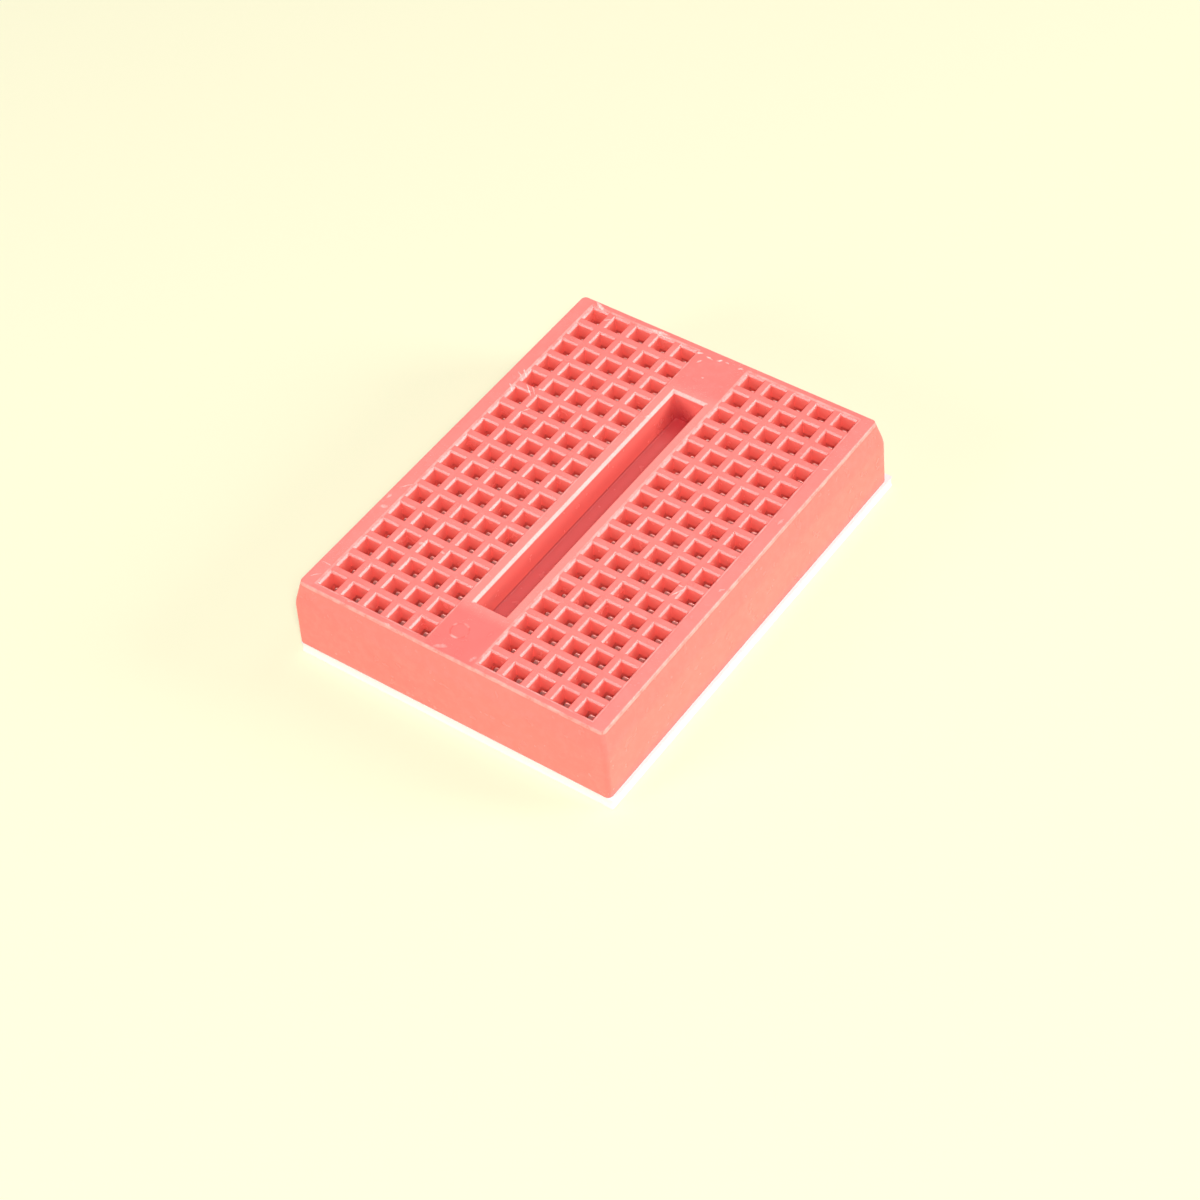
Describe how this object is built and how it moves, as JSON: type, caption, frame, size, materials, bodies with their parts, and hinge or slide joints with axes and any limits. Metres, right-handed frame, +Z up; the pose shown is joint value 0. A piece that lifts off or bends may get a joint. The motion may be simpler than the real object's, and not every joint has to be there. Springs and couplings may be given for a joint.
{
  "type": "solderless breadboard",
  "caption": "Small flat solderless breadboard: moulded coral body with two banks of square tie points, a centre trough, spring contact clips and an adhesive foam base.",
  "frame": {"origin": "centre of the outline at the resting face, under the liner", "axes": "+Y along the rows of tie points (the long side, parallel to the trough), +X along the strips of five, +Z up out of the tie points"},
  "size_m": [0.0346, 0.046, 0.009],
  "materials": {
    "body": "semi-gloss moulded ABS, coral red",
    "contacts": "bright nickel-plated spring strip",
    "foam": "matte closed-cell white foam",
    "liner": "waxed white release paper"
  },
  "bodies": {
    "board": {"body": "body", "contact_clip_left_01": "contacts", "contact_clip_left_02": "contacts", "contact_clip_left_03": "contacts", "contact_clip_left_04": "contacts", "contact_clip_left_05": "contacts", "contact_clip_left_06": "contacts", "contact_clip_left_07": "contacts", "contact_clip_left_08": "contacts", "contact_clip_left_09": "contacts", "contact_clip_left_10": "contacts", "contact_clip_left_11": "contacts", "contact_clip_left_12": "contacts", "contact_clip_left_13": "contacts", "contact_clip_left_14": "contacts", "contact_clip_left_15": "contacts", "contact_clip_left_16": "contacts", "contact_clip_left_17": "contacts", "contact_clip_right_01": "contacts", "contact_clip_right_02": "contacts", "contact_clip_right_03": "contacts", "contact_clip_right_04": "contacts", "contact_clip_right_05": "contacts", "contact_clip_right_06": "contacts", "contact_clip_right_07": "contacts", "contact_clip_right_08": "contacts", "contact_clip_right_09": "contacts", "contact_clip_right_10": "contacts", "contact_clip_right_11": "contacts", "contact_clip_right_12": "contacts", "contact_clip_right_13": "contacts", "contact_clip_right_14": "contacts", "contact_clip_right_15": "contacts", "contact_clip_right_16": "contacts", "contact_clip_right_17": "contacts", "foam_tape": "foam"},
    "liner": {"release_liner": "liner"}
  },
  "joints": [
    {"name": "liner_peel", "type": "slide", "parent": "board", "child": "liner", "axis": [0, 1, 0], "range_m": [0, 0.048]}
  ]
}
